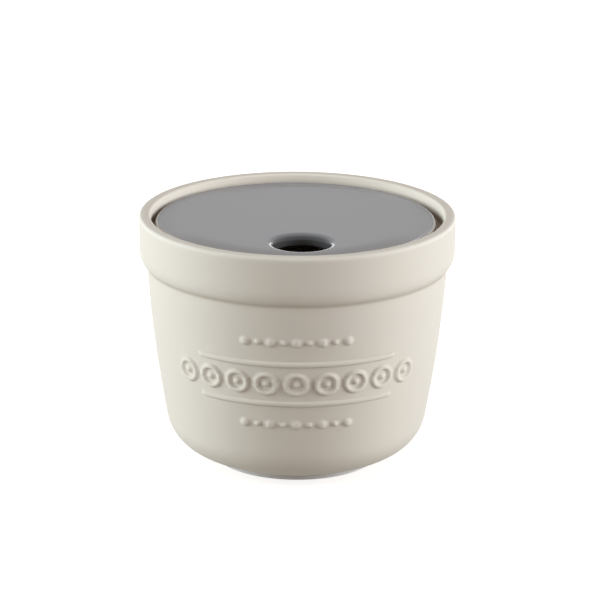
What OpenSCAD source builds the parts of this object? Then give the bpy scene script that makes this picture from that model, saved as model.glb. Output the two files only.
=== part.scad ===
// Garlic keeper: a glazed stoneware pot and a lid that drops into its rim.
// The lid has one round hole, for a finger and for air.
// Origin: centre of the foot's underside. +Z is up, and the relief and the hole face -Y.

/* [Pot] */
// Outer diameter of the rim band
rim_d = 130; // [122:1:142]
// Height from the foot to the top of the rim
pot_h = 104; // [98:0.5:118]
// Height of the rim band
band_h = 20.4; // [17:0.2:25]
// How far the band stands out past the wall below it
band_step = 3; // [1:0.5:4]
// Height over which the band's lower edge rounds in
band_round = 6.5; // [3:0.5:9]
// Thickness of the rim round the lid
rim_t = 4.6; // [4:0.2:6.4]
// Rounding of the rim's outer edge
rim_outer_r = 1.2; // [0.6:0.1:2]
// Rounding of the rim's inner edge
rim_inner_r = 1; // [0.6:0.1:1.6]
// Thickness of the wall and the floor
wall_t = 5.5; // [4.5:0.5:7]
// Lean of the wall just under the band, in degrees from upright
wall_lean = 3.7; // [2:0.1:5]
// Radius of the wall's slight bow, seen from the side
bow_r = 570; // [480:10:800]
// Radius of the round shoulder at the bottom of the wall
shoulder_r = 17.5; // [13:0.5:20]
// Height that the underside climbs between the foot and the shoulder
underside_h = 3.7; // [2:0.1:6]

/* [Foot] */
// Outer diameter of the foot ring
foot_d = 71; // [62:1:78]
// Width of the ring that the pot stands on
foot_w = 4.5; // [3:0.5:8]
// Height of the foot ring
foot_h = 2.4; // [1.6:0.2:4]

/* [Lid and its seat] */
// Thickness of the lid
lid_t = 5.2; // [4.6:0.2:7]
// Depth of the lid's top face below the rim
lid_drop = 3; // [2:0.2:5]
// Clearance between the lid's edge and the rim, all round
lid_gap = 2.8; // [1:0.2:3]
// How far the lid lies to one side within that clearance
lid_side = -0.7; // [-0.8:0.1:0.8]
// Turn of the lid as it lies in its seat, in degrees
lid_turn = 4.4; // [-180:0.1:180]
// Width of the ledge under the lid's edge
seat_w = 3.2; // [2:0.2:4]
// Height of the ledge's inner edge
seat_t = 3.6; // [2.5:0.2:5]
// Rounding of the lid's top edge
lid_edge_r = 1; // [0.6:0.1:2]
// Rounding of the lid's lower edge
lid_foot_r = 0.8; // [0.4:0.1:1.2]

/* [Hole] */
// Diameter of the hole's straight part
hole_d = 22.4; // [18:0.2:26]
// Distance from the lid's centre to the hole's centre
hole_out = 32.8; // [26:0.2:36]
// Rounding of the hole's upper lip
hole_lip_r = 2.8; // [1.5:0.1:3]
// Rounding of the hole's lower lip
hole_foot_r = 1; // [0.4:0.1:1.4]

/* [Relief] */
// Distance from the band down to the middle of the relief
relief_drop = 34; // [30:0.5:38]
// Distance between the two rules
rule_gap = 17.2; // [15:0.2:20]
// Width of a rule
rule_w = 2.4; // [1.6:0.1:3]
// How far each rule runs to either side, in degrees
rule_reach = 39.5; // [30:0.5:50]
// Height of the relief over the wall
relief_h = 0.9; // [0.5:0.1:1.2]
// Number of rings in the middle row
rings = 9; // [5:2:11]
// Outer diameter of a ring
ring_d = 10.4; // [8:0.2:11]
// Width of a ring's raised line
ring_w = 2.2; // [1.4:0.1:2.6]
// Angle from one ring to the next
ring_step = 11.8; // [11.6:0.1:14]
// Diameter of the bead inside each ring
ring_bead_d = 3; // [2:0.1:3.4]
// Distance from a rule to the row of beads beyond it
row_gap = 9.4; // [6:0.2:10]
// Number of beads in such a row
row_beads = 9; // [5:2:11]
// Distance from one bead to the next
bead_pitch = 5.2; // [5:0.1:6]
// Diameter of the larger beads
bead_d = 4.6; // [3:0.1:4.8]
// Diameter of the smaller beads between them
pearl_d = 2.8; // [2:0.1:3]

/* [Hidden] */
$fn = 96;
eps = 0.01;

glaze_cream = [0.87, 0.84, 0.78];
glaze_grey = [0.60, 0.60, 0.61];

rim_r = rim_d / 2;
recess_r = rim_r - rim_t;
lid_r = recess_r - lid_gap;
seat_r = lid_r - seat_w;
lid_z = pot_h - lid_drop;
seat_z = lid_z - lid_t;
hole_r = hole_d / 2;

// The outer line runs down from the band's lower edge in three arcs that meet without a kink:
// the bowed wall, the round shoulder, and the underside, which ends level at the foot's height.
crease_r = rim_r - band_step;
crease_z = pot_h - band_h;
shoulder_turn = 60;
bow_sin = (bow_r * sin(wall_lean) + crease_z - foot_h - underside_h - shoulder_r * sin(shoulder_turn))
    / (bow_r - shoulder_r);
bow_turn = asin(bow_sin);
under_r = underside_h / (1 - sin(shoulder_turn));
bow_c = [crease_r - bow_r * cos(wall_lean), crease_z + bow_r * sin(wall_lean)];
shoulder_c = bow_c + (bow_r - shoulder_r) * [cos(bow_turn), -sin(bow_turn)];
under_c = shoulder_c + (shoulder_r - under_r) * [cos(shoulder_turn), -sin(shoulder_turn)];

// Points on a circle, with the angle measured down from level
function arc(c, r, from, to, steps) =
    [for (i = [0:steps]) let (a = from + (to - from) * i / steps) c + r * [cos(a), -sin(a)]];

// The outer line below the band, moved inwards by a distance
function shell_line(inset) = concat(
    arc(bow_c, bow_r - inset, wall_lean, bow_turn, 8),
    arc(shoulder_c, shoulder_r - inset, bow_turn, shoulder_turn, 12),
    arc(under_c, under_r - inset, shoulder_turn, 90, 8));

// Radius of the wall, and its lean in degrees, at a height
function wall_r(z) = bow_c.x + sqrt(bow_r * bow_r - pow(bow_c.y - z, 2));
function wall_tilt(z) = asin((bow_c.y - z) / bow_r);

// Radius of the circle whose cap is this wide and this high
function cap_r(w, h) = (w * w / 4 + h * h) / (2 * h);

// Corner of a profile, rounded to a radius; side is +1 on the profile's outer side, -1 on its inner
function round_corner(p, r, side) =
    [for (i = [0:8]) let (a = 90 * (side > 0 ? i : 8 - i) / 8)
        [p.x - side * r * (1 - cos(a)), p.y - r * (1 - sin(a))]];

module pot_outline() {
    band_edge = [for (i = [1:10]) let (a = 9 * i)
        [crease_r + band_step * sin(a), crease_z + band_round * (1 - cos(a))]];
    line = shell_line(0);
    polygon(concat(
        [[0, foot_h]],
        [for (i = [len(line) - 1:-1:0]) line[i]],
        band_edge,
        round_corner([rim_r, pot_h], rim_outer_r, 1),
        round_corner([recess_r, pot_h], rim_inner_r, -1),
        [[recess_r, seat_z], [0, seat_z]]));
}

module pot_hollow() {
    line = shell_line(wall_t);
    polygon(concat(
        [[0, foot_h + wall_t]],
        [for (i = [len(line) - 1:-1:0]) line[i]],
        [[line[0].x, pot_h + eps], [0, pot_h + eps]]));
}

module seat_ring() {
    root_r = crease_r;
    polygon([
        [seat_r, seat_z],
        [root_r, seat_z],
        [root_r, seat_z - seat_t - (root_r - seat_r)],
        [seat_r, seat_z - seat_t]]);
}

module foot_ring() {
    translate([foot_d / 2 - foot_w, 0])
        square([foot_w, foot_h + wall_t / 2]);
}

// Places a raised motif on the wall, with its own Z pointing straight out of the wall
module on_wall(angle, z) {
    rotate([0, 0, angle])
        translate([0, -wall_r(z), z])
            rotate([90 + wall_tilt(z), 0, 0])
                children();
}

module bead(d) {
    r = cap_r(d, relief_h);
    translate([0, 0, relief_h - r])
        sphere(r);
}

module ring() {
    r = cap_r(ring_w, relief_h);
    translate([0, 0, relief_h - r])
        rotate_extrude()
            translate([(ring_d - ring_w) / 2, 0])
                circle(r);
}

module rule(z) {
    r = cap_r(rule_w, relief_h);
    rotate([0, 0, -90 - rule_reach])
        rotate_extrude(angle = 2 * rule_reach)
            translate([wall_r(z) + relief_h - r, z])
                circle(r);
}

module bead_row(z) {
    half = (row_beads - 1) / 2;
    step = bead_pitch / wall_r(z) * 180 / PI;
    for (i = [-half:half])
        on_wall(i * step, z)
            bead(abs(i) % 2 == 0 ? bead_d : pearl_d);
}

module relief() {
    mid_z = crease_z - relief_drop;
    half = (rings - 1) / 2;
    for (i = [-half:half])
        on_wall(i * ring_step, mid_z) {
            ring();
            bead(ring_bead_d);
        }
    for (side = [-1, 1]) {
        rule(mid_z + side * rule_gap / 2);
        bead_row(mid_z + side * (rule_gap / 2 + row_gap));
    }
}

module pot() {
    color(glaze_cream) {
        rotate_extrude() {
            difference() {
                pot_outline();
                pot_hollow();
            }
            seat_ring();
            foot_ring();
        }
        relief();
    }
}

module lid_outline() {
    polygon(concat(
        [[0, lid_t], [0, 0]],
        [for (i = [0:6]) let (a = 15 * i)
            [lid_r - lid_foot_r * (1 - sin(a)), lid_foot_r * (1 - cos(a))]],
        round_corner([lid_r, lid_t], lid_edge_r, 1)));
}

// The rounding of one of the hole's lips, cut into a face at height 0 that looks up
module lip_cut(r) {
    rotate_extrude()
        difference() {
            translate([0, -r])
                square([hole_r + r, r + eps]);
            translate([hole_r + r, -r])
                circle(r);
        }
}

module lid() {
    color(glaze_grey)
        translate([lid_side, 0, seat_z])
            rotate([0, 0, lid_turn])
                difference() {
                    rotate_extrude()
                        lid_outline();
                    translate([0, -hole_out, 0]) {
                        translate([0, 0, -eps])
                            cylinder(r = hole_r, h = lid_t + 2 * eps);
                        translate([0, 0, lid_t])
                            lip_cut(hole_lip_r);
                        mirror([0, 0, 1])
                            lip_cut(hole_foot_r);
                    }
                }
}

pot();
lid();
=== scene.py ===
from math import asin, atan2, cos, degrees, hypot, pi, radians, sin, sqrt

import bpy
from mathutils import Matrix, Vector


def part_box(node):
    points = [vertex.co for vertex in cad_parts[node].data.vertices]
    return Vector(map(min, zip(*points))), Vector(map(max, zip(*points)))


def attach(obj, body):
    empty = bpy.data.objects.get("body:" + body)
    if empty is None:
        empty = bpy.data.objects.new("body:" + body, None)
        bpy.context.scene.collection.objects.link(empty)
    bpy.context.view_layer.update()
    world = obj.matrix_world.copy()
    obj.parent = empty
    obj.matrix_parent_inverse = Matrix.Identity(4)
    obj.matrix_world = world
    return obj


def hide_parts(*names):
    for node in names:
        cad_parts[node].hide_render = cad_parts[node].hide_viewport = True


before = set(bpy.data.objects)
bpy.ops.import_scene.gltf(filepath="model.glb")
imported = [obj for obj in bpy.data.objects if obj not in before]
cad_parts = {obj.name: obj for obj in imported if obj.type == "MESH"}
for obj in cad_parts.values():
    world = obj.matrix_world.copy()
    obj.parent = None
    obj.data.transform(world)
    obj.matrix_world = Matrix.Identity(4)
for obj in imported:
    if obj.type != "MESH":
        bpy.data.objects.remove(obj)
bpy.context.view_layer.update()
mm = 0.001

cameraView = {
    "place": (0, -1138.05, 430.57),  # mm
    "looksAt": (1.287, 0, 66.15),  # mm
    "roll": 0.37,  # degrees, to the left
    "lens": 172.89,  # mm
    "sensor": 36,  # mm
}


def makeCamera(v):
    data = bpy.data.cameras.new("photoCamera")
    data.lens = v["lens"]
    data.sensor_width = v["sensor"]
    data.clip_end = 20
    camera = bpy.data.objects.new("photoCamera", data)
    bpy.context.scene.collection.objects.link(camera)
    place = Vector(v["place"]) * mm
    ahead = Vector(v["looksAt"]) * mm - place
    turn = ahead.to_track_quat("-Z", "Y").to_matrix() @ Matrix.Rotation(radians(v["roll"]), 3, "Z")
    camera.matrix_world = Matrix.Translation(place) @ turn.to_4x4()
    bpy.context.scene.camera = camera


makeCamera(cameraView)
print("camera set")


def clearSelection():
    if bpy.context.mode != "OBJECT":
        bpy.ops.object.mode_set(mode="OBJECT")
    bpy.ops.object.select_all(action="DESELECT")


# One point at a place, in edit mode, ready to be extruded
def startPoint(name, place):
    clearSelection()
    bpy.ops.mesh.primitive_plane_add(size=2 * mm)
    piece = bpy.context.object
    piece.name = piece.data.name = name
    bpy.ops.object.mode_set(mode="EDIT")
    bpy.ops.mesh.select_mode(type="VERT")
    bpy.ops.mesh.select_all(action="SELECT")
    bpy.ops.mesh.merge(type="CENTER")
    bpy.ops.transform.translate(value=place)
    return piece


# Draws a profile of (radius, height) points, in mm, in the upright plane that faces startAngle, and spins it
# about an upright axis. Each sector is (degrees, steps), and together they close the circle.
def spinProfile(name, profile, sectors, startAngle=0, centre=(0, 0)):
    out = Vector((cos(radians(startAngle)), sin(radians(startAngle)), 0))
    axis = Vector((centre[0], centre[1], 0))
    places = [(axis + out * r + Vector((0, 0, z))) * mm for r, z in profile]
    piece = startPoint(name, places[0])
    for last, place in zip(places, places[1:]):
        bpy.ops.mesh.extrude_region_move(TRANSFORM_OT_translate={"value": place - last})
    bpy.ops.mesh.select_all(action="SELECT")
    for angle, steps in sectors:
        bpy.ops.mesh.spin(steps=steps, angle=radians(angle), center=axis * mm, axis=(0, 0, 1))
    return piece


# Merges what meets, turns all faces outwards and leaves edit mode
def closeShell(piece):
    bpy.ops.mesh.select_all(action="SELECT")
    bpy.ops.mesh.remove_doubles(threshold=0.002 * mm)
    bpy.ops.mesh.normals_make_consistent(inside=False)
    bpy.ops.mesh.select_all(action="DESELECT")
    bpy.ops.object.mode_set(mode="OBJECT")
    bpy.ops.object.shade_smooth()


# Values at even steps from start to end, both included
def evenly(start, end, steps):
    return [start + (end - start) * i / steps for i in range(steps + 1)]


# The same for angles, which come in degrees and leave in radians
def angles(start, end, steps):
    return [radians(a) for a in evenly(start, end, steps)]


# Points on a circle in the profile's plane, with the angle measured down from level
def arc(centre, r, start, end, steps):
    return [(centre[0] + r * cos(a), centre[1] - r * sin(a)) for a in angles(start, end, steps)]


# Points on a bend that leaves start and reaches end in line with corner, at these shares of its way
def bend(start, corner, end, shares):
    a, b, c = Vector(start), Vector(corner), Vector(end)
    return [tuple(a * (1 - t) ** 2 + b * 2 * t * (1 - t) + c * t ** 2) for t in shares]


# Replaces a corner of a profile by a bend that starts and ends r away from it
def rounded(before, corner, after, r, steps=4):
    start = (Vector(before) - Vector(corner)).normalized() * r + Vector(corner)
    end = (Vector(after) - Vector(corner)).normalized() * r + Vector(corner)
    return bend(start, corner, end, evenly(0, 1, steps))


# The pot's sizes, in mm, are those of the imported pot
potShape = {
    "rimRadius": 65,
    "height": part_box("pot")[1].z / mm,
    "bandHeight": 20.4,
    "bandStep": 3,
    "bandRound": 6.5,
    "rimThick": 4.6,
    "rimOuterRound": 1.2,
    "rimInnerRound": 1,
    "rimCrown": 9,  # degrees that the glazed top tilts by before its two edges
    "wallThick": 5.5,
    "wallLean": 3.7,
    "bowRadius": 570,
    "shoulderRadius": 17.5,
    "shoulderTurn": 60,  # degrees below level at which the shoulder ends
    "undersideHeight": 3.7,
    "footRadius": 35.5,
    "footWidth": 4.5,
    "footHeight": 2.4,
    "footRound": 0.5,
    "footFillets": (0.8, 0.45),  # inside and outside the foot ring
    "seatRadius": 54.4,
    "seatThick": 3.6,
    "seatHeight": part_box("lid")[0].z / mm,
    "seatRound": 0.7,
    "seatFillet": 0.9,  # in the corner round the lid
    "ledgeRound": 1.4,  # on the ledge's lower edge
    "ledgeFillet": 1.2,  # where its slope meets the wall
    "creaseFillet": 1.8,  # how far below the band the glaze gathers in the corner
    "creaseJoins": 26,  # degrees round the band's lower edge where that glaze meets it
}

# The relief stands on the front of the wall between two rules. Sizes in mm, reaches in degrees.
reliefShape = {
    "height": 0.9,
    "edge": 0.75,  # width over which a stroke rises
    "middle": 49.6,  # over the foot
    "ruleGap": 17.2,
    "ruleHalfWidth": 1.3,
    "ruleReach": 39.5,
    "rings": 9,
    "ringStep": 11.8,
    "ringRadius": 4.1,
    "ringHalfWidth": 1.2,
    "ringBead": 1.7,
    "ringBeadEdge": 1.2,
    "rowGap": 9.4,
    "rowBeads": 9,
    "beadPitch": 5.2,
    "bead": 2.4,
    "pearl": 1.5,
    "beadEdge": 0.7,  # as a share of the bead's or pearl's own radius
    "moat": 0.9,  # width of the line of gathered glaze round each stroke
}


# The wall, shoulder and underside are three arcs that meet without a kink, as (centre, radius, start, end)
def shellArcs(s):
    crease = (s["rimRadius"] - s["bandStep"], s["height"] - s["bandHeight"])
    bow, shoulder = s["bowRadius"], s["shoulderRadius"]
    lean, turn = radians(s["wallLean"]), radians(s["shoulderTurn"])
    drop = crease[1] - s["footHeight"] - s["undersideHeight"] - shoulder * sin(turn)
    bowEnd = asin((bow * sin(lean) + drop) / (bow - shoulder))
    under = s["undersideHeight"] / (1 - sin(turn))
    bowCentre = (crease[0] - bow * cos(lean), crease[1] + bow * sin(lean))
    shoulderCentre = (bowCentre[0] + (bow - shoulder) * cos(bowEnd),
                      bowCentre[1] - (bow - shoulder) * sin(bowEnd))
    underCentre = (shoulderCentre[0] + (shoulder - under) * cos(turn),
                   shoulderCentre[1] - (shoulder - under) * sin(turn))
    return (
        (bowCentre, bow, s["wallLean"], degrees(bowEnd)),
        (shoulderCentre, shoulder, degrees(bowEnd), s["shoulderTurn"]),
        (underCentre, under, s["shoulderTurn"], 90),
    )


def wallRadius(s, z):
    (x, y), r, *_ = shellArcs(s)[0]
    return x + sqrt(r * r - (y - z) ** 2)


# Heights of the wall's rows of faces: close together where the relief stands
def wallRows(s, r):
    margin, fineRow = 0.8, 0.85  # mm beyond the beads, and mm from row to row
    centre, bow, _, bowEnd = shellArcs(s)[0]
    bottom = centre[1] - bow * sin(radians(bowEnd))
    top = s["height"] - s["bandHeight"] - s["creaseFillet"]
    reach = r["ruleGap"] / 2 + r["rowGap"] + r["bead"] + margin
    fineBottom, fineTop = r["middle"] - reach, r["middle"] + reach
    rows = evenly(bottom, fineBottom, 4)[1:-1]
    rows += evenly(fineBottom, fineTop, round((fineTop - fineBottom) / fineRow))
    return rows + evenly(fineTop, top, 6)[1:]


# The pot's closed profile has three parts. The first one starts in the middle of the underside and goes over
# the foot ring and the shoulder and up the wall.
def shellProfile(s, r):
    shoulder, under = shellArcs(s)[1:]
    footOut, footIn, footUp = s["footRadius"], s["footRadius"] - s["footWidth"], s["footHeight"]
    footTop = under[0][1] - sqrt(under[1] ** 2 - (footOut - under[0][0]) ** 2)
    onUnderside, pastFillet = (footOut + 5, footTop + 0.4), footOut + 0.7
    inFillet, outFillet = s["footFillets"]

    points = [(0, footUp), (footIn * 0.5, footUp), (footIn - 2, footUp)]
    points += rounded((0, footUp), (footIn, footUp), (footIn, 0), inFillet)
    points += rounded((footIn, footUp), (footIn, 0), (footOut, 0), s["footRound"])
    points += rounded((footIn, 0), (footOut, 0), (footOut, footTop), s["footRound"])
    points += rounded((footOut, 0), (footOut, footTop), onUnderside, outFillet)
    underArc = arc(under[0], under[1], under[3], under[2], steps=18)
    points += [p for p in underArc if p[0] > pastFillet]
    points += arc(shoulder[0], shoulder[1], shoulder[3], shoulder[2], steps=18)[1:]
    return points + [(wallRadius(s, z), z) for z in wallRows(s, r)]


# The second part is the glaze gathered in the corner below the band, the band, and the crowned rim
def rimProfile(s, wallTop):
    rim, recess, top = s["rimRadius"], s["rimRadius"] - s["rimThick"], s["height"]
    creaseOut, creaseUp = rim - s["bandStep"], top - s["bandHeight"]
    joins, crown = radians(s["creaseJoins"]), radians(s["rimCrown"])
    band = [(creaseOut + s["bandStep"] * sin(a), creaseUp + s["bandRound"] * (1 - cos(a)))
            for a in evenly(joins, pi / 2, 13)]
    corner = (creaseOut, creaseUp + s["bandRound"] * (1 - 1 / cos(joins)))
    points = bend(wallTop, corner, band[0], evenly(0, 1, 7)[1:-1]) + band

    outer, inner = s["rimOuterRound"], s["rimInnerRound"]
    crownOut, crownIn = rim - outer * (1 - sin(crown)), recess + inner * (1 - sin(crown))
    crownRadius = (crownOut - crownIn) / 2 / sin(crown)
    low = top - crownRadius * (1 - cos(crown))
    outerLow, innerLow = low - outer * cos(crown), low - inner * cos(crown)
    turns = evenly(0, pi / 2 - crown, 11)
    points += [(rim, z) for z in evenly(creaseUp + s["bandRound"], outerLow, 6)[1:-1]]
    points += [(rim - outer * (1 - cos(a)), outerLow + outer * sin(a)) for a in turns]
    points += [((crownOut + crownIn) / 2 + crownRadius * sin(a), top - crownRadius * (1 - cos(a)))
               for a in (crown * i / 4 for i in range(3, -4, -1))]
    points += [(recess + inner * (1 - cos(a)), innerLow + inner * sin(a)) for a in reversed(turns)]
    return points + [(recess, (innerLow + s["seatHeight"]) / 2)]


# The third part is the seat, the slope below its ledge, the inside of the wall and the floor to its middle
def insideProfile(s):
    bow, shoulder, under = shellArcs(s)
    recess, seat, thick = s["rimRadius"] - s["rimThick"], s["seatHeight"], s["wallThick"]
    wallIn, lean = bow[1] - thick, radians(bow[2])
    innerTop = (bow[0][0] + wallIn * cos(lean), bow[0][1] - wallIn * sin(lean))
    seatIn, ledge = (s["seatRadius"], seat), (s["seatRadius"], seat - s["seatThick"])
    slopeEnd = (innerTop[0], ledge[1] - (innerTop[0] - ledge[0]))

    points = rounded((recess, s["height"]), (recess, seat), (0, seat), s["seatFillet"], steps=5)
    points += rounded((recess, seat), seatIn, (s["seatRadius"], 0), s["seatRound"], steps=5)
    points += rounded(seatIn, ledge, slopeEnd, s["ledgeRound"])
    points += rounded(ledge, slopeEnd, innerTop, s["ledgeFillet"])
    points += arc(bow[0], wallIn, bow[2], bow[3], steps=10)
    points += arc(shoulder[0], shoulder[1] - thick, shoulder[2], shoulder[3], steps=12)[1:]
    points += arc(under[0], under[1] - thick, under[2], under[3], steps=8)[1:]
    x, z = points[-1]
    return points + [(x * 0.5, z), (0, z)]


def potProfile(s, r):
    shell = shellProfile(s, r)
    return shell + rimProfile(s, shell[-1]) + insideProfile(s)


# How high the relief stands at a place on the wall, as a share of its full height. across is measured along
# the wall from the middle of the front, up from the foot, and grow widens each stroke.
def reliefAt(r, wall, across, up, grow=0):
    def mound(distance, halfWidth, edge=r["edge"]):
        t = max(0, min(1, (halfWidth + grow - distance) / (edge + grow)))
        return t * t * (3 - 2 * t)

    # Which copy in a row is nearest, counted from the middle one
    def nearest(count, pitch):
        return max(-(count // 2), min(count // 2, round(across / pitch)))

    angle = degrees(across / wall)
    up -= r["middle"]
    step = radians(r["ringStep"]) * wall
    fromRing = hypot(across - nearest(r["rings"], step) * step, up)
    height = max(mound(abs(fromRing - r["ringRadius"]), r["ringHalfWidth"]),
                 mound(fromRing, r["ringBead"], r["ringBeadEdge"]))
    over = max(0, abs(angle) - r["ruleReach"]) * radians(1) * wall
    bead = nearest(r["rowBeads"], r["beadPitch"])
    size = r["bead"] if bead % 2 == 0 else r["pearl"]
    for side in (-1, 1):
        fromRule = hypot(over, up - side * r["ruleGap"] / 2)
        fromBead = hypot(across - bead * r["beadPitch"], up - side * (r["ruleGap"] / 2 + r["rowGap"]))
        height = max(height, mound(fromRule, r["ruleHalfWidth"]), mound(fromBead, size, size * r["beadEdge"]))
    return height


# The relief at a point of the mesh, or 0 off the outside of the wall's front
def reliefAtPoint(s, r, place, grow=0):
    lowest, highest = 10, 80  # mm, both well clear of the relief
    depth = 0.5  # mm below the wall's surface, more than rounding moves a point
    x, y, z = place / mm
    if y > 0 or not lowest < z < highest:
        return 0
    wall = wallRadius(s, z)
    if hypot(x, y) < wall - depth:
        return 0
    return reliefAt(r, wall, atan2(x, -y) * wall, z, grow)


# Cuts the faces under the relief finer, raises it out of the wall, and keeps its height and the moat of
# gathered glaze round it as attributes
def raiseRelief(piece, s, r):
    margin = 0.6  # mm of finer faces beyond the moat
    clearSelection()
    piece.select_set(True)
    bpy.context.view_layer.objects.active = piece
    points = piece.data.vertices
    near = [reliefAtPoint(s, r, point.co, r["moat"] + margin) > 0 for point in points]
    for face in piece.data.polygons:
        face.select = any(near[i] for i in face.vertices)
    bpy.ops.object.mode_set(mode="EDIT")
    bpy.ops.mesh.select_mode(type="FACE")
    bpy.ops.mesh.subdivide(number_cuts=2)
    bpy.ops.object.mode_set(mode="OBJECT")

    heights = [reliefAtPoint(s, r, point.co) for point in piece.data.vertices]
    moats = [reliefAtPoint(s, r, point.co, r["moat"]) - h for point, h in zip(piece.data.vertices, heights)]
    group = piece.vertex_groups.new(name="relief")
    for index, height in enumerate(heights):
        if height > 0:
            group.add([index], height, "REPLACE")
    piece.data.attributes.new("reliefHeight", "FLOAT", "POINT").data.foreach_set("value", heights)
    piece.data.attributes.new("reliefMoat", "FLOAT", "POINT").data.foreach_set("value", moats)
    push = piece.modifiers.new("raise", "DISPLACE")
    push.vertex_group = "relief"
    push.direction = "NORMAL"
    push.mid_level = 0
    push.strength = r["height"] * mm
    bpy.ops.object.modifier_apply(modifier=push.name)


def makePot(s, r):
    frontReach = 118  # degrees of the wall that hold the relief, in finer steps
    sectors = [(frontReach, 134), (360 - frontReach, 98)]
    pot = spinProfile("potShell", potProfile(s, r), sectors, startAngle=-90 - frontReach / 2)
    closeShell(pot)
    raiseRelief(pot, s, r)
    return pot


pot = makePot(potShape, reliefShape)
print("pot modelled:", len(pot.data.polygons), "faces")

lidLow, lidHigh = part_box("lid")
lidShape = {
    "radius": 57.6,
    "thick": (lidHigh.z - lidLow.z) / mm,
    "base": lidLow.z / mm,
    "centre": (-0.7, 0),
    "edgeRound": 1,
    "glazeBead": (1.4, 0.14),  # width and height of the glaze's own bead inside the edge
    "footRound": 0.8,
    "turn": 4.4,  # degrees, as it lies in its seat
    "holeRadius": 11.2,
    "holeOut": 32.8,
    "holeLip": 2.8,
    "holeFoot": 1,
    "flat": 0.6,  # narrow flat band beside each rounding, so that the flat faces shade flat
}


def holeCentre(s):
    way = radians(s["turn"] - 90)
    return s["centre"][0] + s["holeOut"] * cos(way), s["centre"][1] + s["holeOut"] * sin(way)


# The lid's edge, from the underside up to the flat part of the top
def lidEdge(s, low, high, flatTop):
    r, foot, top = s["radius"], s["footRound"], s["edgeRound"]
    beadWide, beadHigh = s["glazeBead"]
    points = [(r - foot - s["flat"], low)]
    points += [(r - foot * (1 - sin(a)), low + foot * (1 - cos(a))) for a in angles(0, 90, 6)]
    points += [(r - top * (1 - cos(a)), high - top * (1 - sin(a))) for a in angles(0, 90, 10)]
    points += [(r - top - beadWide * i / 6, high - beadHigh * (1 - cos(radians(30 * i))) / 2)
               for i in range(1, 7)]
    return points + [(r - top - beadWide - s["flat"], flatTop)]


# The hole's wall, from the flat part of the top down to the underside
def holeWall(s, low, flatTop):
    r, lip, foot = s["holeRadius"], s["holeLip"], s["holeFoot"]
    points = [(r + lip + s["flat"], flatTop)]
    points += [(r + lip * (1 - sin(a)), flatTop - lip * (1 - cos(a))) for a in angles(0, 90, 12)]
    points += [(r + foot * (1 - cos(a)), low + foot * (1 - sin(a))) for a in angles(0, 90, 6)]
    return points + [(r + foot + s["flat"], low)]


# Joins the two open edges that lie at this height, in mm, by a flat face, and stays in edit mode
def bridgeAt(piece, level):
    bpy.ops.object.mode_set(mode="EDIT")
    bpy.ops.mesh.select_all(action="DESELECT")
    bpy.ops.mesh.select_mode(type="EDGE")
    bpy.ops.object.mode_set(mode="OBJECT")
    faceCount = {}
    for face in piece.data.polygons:
        for key in face.edge_keys:
            faceCount[key] = faceCount.get(key, 0) + 1
    for line in piece.data.edges:
        ends = [piece.data.vertices[i].co.z / mm for i in line.vertices]
        line.select = faceCount.get(line.key, 0) == 1 and all(abs(z - level) < 0.01 for z in ends)
    bpy.ops.object.mode_set(mode="EDIT")
    bpy.ops.mesh.bridge_edge_loops()


# The lid's edge is spun about its own middle and the hole's wall about the hole's.
# The flat faces between them are then bridged.
def makeLid(s):
    around = 160
    low, high = s["base"], s["base"] + s["thick"]
    flatTop = high - s["glazeBead"][1]
    lid = spinProfile("lidDisc", lidEdge(s, low, high, flatTop), [(360, around)], centre=s["centre"])
    closeShell(lid)
    hole = spinProfile("holeWall", holeWall(s, low, flatTop), [(360, around)], centre=holeCentre(s))
    closeShell(hole)

    clearSelection()
    hole.select_set(True)
    lid.select_set(True)
    bpy.context.view_layer.objects.active = lid
    bpy.ops.object.join()
    bridgeAt(lid, flatTop)
    bridgeAt(lid, low)
    closeShell(lid)
    return lid


lid = makeLid(lidShape)
print("lid modelled:", len(lid.data.polygons), "faces")


# A socket that Python's own signs work on: each sign adds its Math node
class Flow:
    def __init__(self, sheet, socket):
        self.sheet = sheet
        self.socket = socket

    def maths(self, operation, *values):
        return self.sheet.node("ShaderNodeMath", {"operation": operation}, dict(enumerate(values)))

    def __add__(self, other):
        return self.maths("ADD", self, other)

    def __radd__(self, other):
        return self.maths("ADD", other, self)

    def __sub__(self, other):
        return self.maths("SUBTRACT", self, other)

    def __rsub__(self, other):
        return self.maths("SUBTRACT", other, self)

    def __mul__(self, other):
        return self.maths("MULTIPLY", self, other)

    def __rmul__(self, other):
        return self.maths("MULTIPLY", other, self)

    def __truediv__(self, other):
        return self.maths("DIVIDE", self, other)

    def __rtruediv__(self, other):
        return self.maths("DIVIDE", other, self)

    def __abs__(self):
        return self.maths("ABSOLUTE", self)

    # The greater of the two
    def atLeast(self, other):
        return self.maths("MAXIMUM", self, other)

    # 0 below start, 1 above end, and smooth between
    def ramp(self, start, end):
        return self.sheet.node("ShaderNodeMapRange", {"interpolation_type": "SMOOTHSTEP"},
                               {"Value": self, "From Min": start, "From Max": end})


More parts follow.
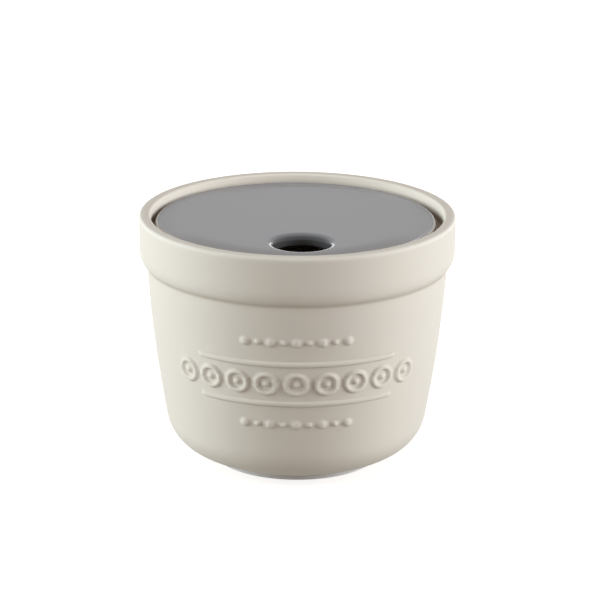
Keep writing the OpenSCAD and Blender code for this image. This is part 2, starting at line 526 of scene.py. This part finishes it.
# The nodes of a material or a world. node() takes a type, its settings, which are set first, and what its
# sockets hold.
class Sheet:
    def __init__(self, owner):
        owner.use_nodes = True
        self.owner = owner
        self.tree = owner.node_tree
        self.tree.nodes.clear()

    def node(self, kind, settings=None, sockets=None, output=0):
        made = self.tree.nodes.new(kind)
        for key, value in (settings or {}).items():
            setattr(made, key, value)
        for key, value in (sockets or {}).items():
            if isinstance(value, Flow):
                self.tree.links.new(value.socket, made.inputs[key])
            else:
                made.inputs[key].default_value = value
        return Flow(self, made.outputs[output]) if made.outputs else made

    def blend(self, factor, first, second):
        sockets = {0: factor, 6: first, 7: second}  # a Mix node keeps its colours in these
        return self.node("ShaderNodeMix", {"data_type": "RGBA"}, sockets, output=2)

    def noise(self, place, scale, detail=2):
        return self.node("ShaderNodeTexNoise", {}, {"Vector": place, "Scale": scale, "Detail": detail})

    def finish(self, kind, shader):
        self.node(kind, {}, {"Surface": shader})
        return self.owner


def colour(r, g, b):
    return (r, g, b, 1)


# What both glazes share. Scales are in waves per metre, heights in mm.
glazeMarks = {
    "driftScale": 22,  # slow change of tone and of roughness
    "speckScale": 900,
    "waveScale": 130,
    "grainScale": 2600,  # of the clay
    "grainHeight": 0.08,
    "roughnessDrift": 0.04,
    "clayRoughness": 0.5,  # what bare clay adds
}

# Glaze over a clay body. Colours are linear, places on the piece are in mm, as in potShape, and a share says
# how strongly its mark shows.
potGlaze = {
    "glaze": colour(0.69, 0.645, 0.565),
    "thin": colour(0.79, 0.755, 0.67),  # where the glaze runs off an edge
    "inside": colour(0.90, 0.84, 0.73),  # painted light on the inner face of the rim
    "gathered": colour(0.63, 0.58, 0.49),  # where it is thicker
    "poolAndShade": colour(0.53, 0.475, 0.39),  # where it pools round the relief, and painted shade in the corner below the band
    "seamPoolAndShade": colour(0.38, 0.345, 0.29),  # where it pools on the foot ring, and painted shade where the foot meets the underside
    "clay": colour(0.86, 0.84, 0.80),  # the bare ring of the foot
    "clayGrain": colour(0.74, 0.72, 0.69),
    "glazeEnd": 1.5,  # height at which the glaze stops on the foot
    "driftShare": 0.35,
    "speckShare": 0.1,
    "reliefShare": 0.25,
    "moatShare": 0.5,
    "creaseShare": 0.7,
    "rimShare": 0.8,
    "roughness": 0.34,
    "dryRim": 0.3,  # roughness that the thin glaze of the rim adds
    "mirror": 0.08,  # specular level, low for a satin glaze
    "wave": 0.05,  # height of the slow wave of the surface
}

lidGlaze = {
    "glaze": colour(0.217, 0.22, 0.228),
    "thin": colour(0.27, 0.275, 0.285),
    "gathered": colour(0.167, 0.169, 0.174),
    "paintedFrontShade": colour(0.12, 0.114, 0.108),  # painted shade near the front edge, where the rim shades the lid
    "back": colour(0.295, 0.3, 0.312),  # painted light along the back edge, which cancels the dark reflection of the rim's back wall
    "paintedHoleShade": colour(0.075, 0.075, 0.074),  # painted shade down the hole
    "edge": colour(0.78, 0.78, 0.76),  # pale where the thin glaze breaks over the lid's edge, with a painted highlight there
    "clay": colour(0.33, 0.31, 0.28),
    "clayGrain": colour(0.25, 0.24, 0.22),
    "driftShare": 0.3,
    "speckShare": 0.2,
    "paintedBackLightShare": 0.95,
    "paintedEdgeShadeShare": 0.4,
    "roughness": 0.1,
    "mirror": 0.3,
    "wave": 0.03,
}


# Places that both glazes read: the point itself, its height and its distance from an upright axis
def glazePlaces(sheet, centre=(0, 0)):
    coords = sheet.node("ShaderNodeTexCoord", output="Object")
    up = sheet.node("ShaderNodeSeparateXYZ", {}, {"Vector": coords}, output="Z")
    level = sheet.node("ShaderNodeVectorMath", {"operation": "MULTIPLY_ADD"},
                       {0: coords, 1: (1, 1, 0), 2: (-centre[0] * mm, -centre[1] * mm, 0)})
    out = sheet.node("ShaderNodeVectorMath", {"operation": "LENGTH"}, {0: level}, output="Value")
    return coords, up / mm, out / mm


# The glaze's tone before its marks: a slow drift towards the gathered one, with specks of the thin one
def driftingTone(sheet, g, coords):
    drift = sheet.noise(coords, glazeMarks["driftScale"]) * g["driftShare"]
    specks = sheet.noise(coords, glazeMarks["speckScale"], detail=3) * g["speckShare"]
    return sheet.blend(specks, sheet.blend(drift, g["glaze"], g["gathered"]), g["thin"])


# Bare clay with its grain shows where bare is 1, and glaze of the given tone elsewhere
def glazeShader(sheet, g, coords, tone, bare, dry=0):
    m = glazeMarks
    grain = sheet.noise(coords, m["grainScale"])
    body = sheet.blend(bare, tone, sheet.blend(grain, g["clay"], g["clayGrain"]))
    drift = sheet.noise(coords, m["driftScale"]) * m["roughnessDrift"]
    roughness = g["roughness"] + drift + bare * m["clayRoughness"] + dry
    height = sheet.noise(coords, m["waveScale"]) * g["wave"] + grain * bare * m["grainHeight"]
    bump = sheet.node("ShaderNodeBump", {}, {"Strength": 1.0, "Distance": mm, "Height": height})
    return sheet.node("ShaderNodeBsdfPrincipled", {}, {
        "Base Color": body, "Roughness": roughness, "Normal": bump,
        "IOR": 1.5, "Specular IOR Level": g["mirror"]})


def makePotGlaze(g, s):
    sheet = Sheet(bpy.data.materials.new("creamGlaze"))
    coords, up, out = glazePlaces(sheet)
    relief = sheet.node("ShaderNodeAttribute", {"attribute_name": "reliefHeight"}, output="Fac")
    moat = sheet.node("ShaderNodeAttribute", {"attribute_name": "reliefMoat"}, output="Fac")
    wall, recess = s["rimRadius"] - s["bandStep"], s["rimRadius"] - s["rimThick"]
    foot, footUp, seat = s["footRadius"], s["footHeight"], s["seatHeight"]

    # painted shade in the corner below the band, over the glaze that gathers there
    crease = 1 - abs(up - (s["height"] - s["bandHeight"])).ramp(0.2, 2)
    crease = crease * (1 - out.ramp(wall + 0.4, wall + 1.6))
    # painted shade where the foot ring meets the underside, over glaze pooled there
    seam = out.ramp(foot - 1, foot - 0.3) * (1 - out.ramp(foot + 0.2, foot + 1.6))
    seam = seam * up.ramp(footUp - 0.8, footUp - 0.2)
    # painted light on the inner face of the rim, above the seat
    inside = (1 - out.ramp(recess, recess + 1.3)) * out.ramp(recess - 2, recess - 0.5)
    inside = inside * up.ramp(seat + 3, seat + 6)
    rim = up.ramp(s["height"] - 2.4, s["height"] - 0.8)

    tone = driftingTone(sheet, g, coords)
    tone = sheet.blend(relief.ramp(0.55, 1) * g["reliefShare"], tone, g["thin"])
    tone = sheet.blend(moat.ramp(0.1, 0.9) * g["moatShare"], tone, g["poolAndShade"])
    tone = sheet.blend(crease * g["creaseShare"], tone, g["poolAndShade"])
    tone = sheet.blend(seam, tone, g["seamPoolAndShade"])
    tone = sheet.blend(rim * g["rimShare"], tone, g["thin"])
    tone = sheet.blend(inside, tone, g["inside"])
    bare = 1 - up.ramp(g["glazeEnd"] - 0.25, g["glazeEnd"] + 0.25)
    return sheet.finish("ShaderNodeOutputMaterial",
                        glazeShader(sheet, g, coords, tone, bare, dry=rim * g["dryRim"]))


def makeLidGlaze(g, s):
    sheet = Sheet(bpy.data.materials.new("greyGlaze"))
    coords, up, out = glazePlaces(sheet, s["centre"])
    ahead = sheet.node("ShaderNodeSeparateXYZ", {}, {"Vector": coords}, output="Y") / -mm
    base, edge, top = s["base"], s["radius"], s["base"] + s["thick"]

    # painted shade on the lid's front, where the front rim shades it
    paintedFrontShade = out.ramp(edge - 17, edge - 8) * ahead.ramp(18, 40)
    # painted light along the lid's back edge, against the dark reflection of the rim's back wall
    back = out.ramp(edge - 8.5, edge - 3) * (1 - ahead.ramp(-40, -18))
    # painted shade: a dark line just inside the lid's edge
    paintedEdgeShade = 1 - abs(out - (edge - 1.6)).ramp(0.1, 0.7)
    # pale thin glaze on the lid's edge, and a painted highlight along it
    paleEdgeAndHighlight = out.ramp(edge - 1, edge - 0.6) * up.ramp(top - 1.2, top - 0.5)
    # painted shade down the hole's wall
    fromHole = glazePlaces(sheet, holeCentre(s))[2]
    paintedHoleShade = 1 - fromHole.ramp(s["holeRadius"] + 0.2, s["holeRadius"] + 1.6)

    tone = driftingTone(sheet, g, coords)
    tone = sheet.blend(paintedFrontShade, tone, g["paintedFrontShade"])
    tone = sheet.blend(back * g["paintedBackLightShare"], tone, g["back"])
    tone = sheet.blend(paintedEdgeShade * g["paintedEdgeShadeShare"], tone, g["gathered"])
    tone = sheet.blend(paleEdgeAndHighlight, tone, g["edge"])
    tone = sheet.blend(paintedHoleShade, tone, g["paintedHoleShade"])
    bare = 1 - up.ramp(base + 0.1, base + 0.4)
    return sheet.finish("ShaderNodeOutputMaterial", glazeShader(sheet, g, coords, tone, bare))


def dress(piece, material, body, node):
    piece.data.materials.clear()
    piece.data.materials.append(material)
    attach(piece, body)
    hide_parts(node)


dress(pot, makePotGlaze(potGlaze, potShape), "pot", "pot")
dress(lid, makeLidGlaze(lidGlaze, lidShape), "lid", "lid")
print("glazes made")

studio = {
    "sideSize": (0.9, 0.9),  # m
    "left": {"place": (-1.055, -0.19, 0.36), "power": 17.7, "tint": (0.845, 0.945, 1), "mirrored": False},
    "right": {"place": (1.06, -0.27, 0.36), "power": 17.4, "tint": (0.875, 0.94, 1), "mirrored": False},
    "backSize": (1.5, 0.3),
    "back": {"place": (0, 1.5, 0.17), "power": 3.5, "tint": (1, 1, 1), "mirrored": True},  # for the glints
    "aimAt": (0, 0, 0.06),
    "world": (0.165, 0.1, 0.075),
    "floorColour": (0.47, 0.43, 0.39),
    "floorGlow": (0.78, 1),  # near the piece and far from it
    "glowReach": (0.05, 0.3),  # m
    "mirroredGlow": 0.65,  # share of that glow in the glazes, which the lit floor fills up to about white
}


def addLight(name, size, v, aimAt):
    data = bpy.data.lights.new(name, "AREA")
    data.color = v["tint"]
    data.shape = "RECTANGLE"
    data.size, data.size_y = size
    data.energy = v["power"]
    light = bpy.data.objects.new(name, data)
    bpy.context.scene.collection.objects.link(light)
    turn = (Vector(aimAt) - Vector(v["place"])).to_track_quat("-Z", "Y").to_matrix().to_4x4()
    light.matrix_world = Matrix.Translation(v["place"]) @ turn
    light.visible_camera = False
    light.visible_glossy = v["mirrored"]


# Rays from the camera and those through clear surfaces meet white. Glossy ones meet their share of it.
def seesBackground(sheet, glossyShare=1):
    camera, glossy, clear = (sheet.node("ShaderNodeLightPath", output="Is " + name + " Ray")
                             for name in ("Camera", "Glossy", "Transmission"))
    return camera.atLeast(clear).atLeast(glossy * glossyShare)


def makeWorld(v):
    world = bpy.data.worlds.new("studioWorld")
    bpy.context.scene.world = world
    sheet = Sheet(world)
    light = sheet.blend(seesBackground(sheet), colour(*v["world"]), colour(1, 1, 1))
    backdrop = sheet.node("ShaderNodeBackground", {}, {"Color": light})
    sheet.finish("ShaderNodeOutputWorld", backdrop)


def makeFloor(v):
    clearSelection()
    bpy.ops.mesh.primitive_plane_add(size=6)
    floor = bpy.context.object
    floor.name = "studioFloor"
    sheet = Sheet(bpy.data.materials.new("paleFloor"))
    cloth = sheet.node("ShaderNodeBsdfDiffuse", {}, {"Color": colour(*v["floorColour"])})
    coords = sheet.node("ShaderNodeTexCoord", output="Object")
    away = sheet.node("ShaderNodeVectorMath", {"operation": "LENGTH"}, {0: coords}, output="Value")
    near, far = v["floorGlow"]
    seen = near + away.ramp(*v["glowReach"]) * (far - near)
    strength = seesBackground(sheet, v["mirroredGlow"]) * seen
    glow = sheet.node("ShaderNodeEmission", {}, {"Color": colour(1, 1, 1), "Strength": strength})
    both = sheet.node("ShaderNodeAddShader", {}, {0: cloth, 1: glow})
    floor.data.materials.append(sheet.finish("ShaderNodeOutputMaterial", both))


addLight("rightLight", studio["sideSize"], studio["right"], studio["aimAt"])
addLight("leftLight", studio["sideSize"], studio["left"], studio["aimAt"])
addLight("backLight", studio["backSize"], studio["back"], studio["aimAt"])
makeWorld(studio)
makeFloor(studio)
bpy.context.scene.view_settings.view_transform = "Standard"
print("studio lit")
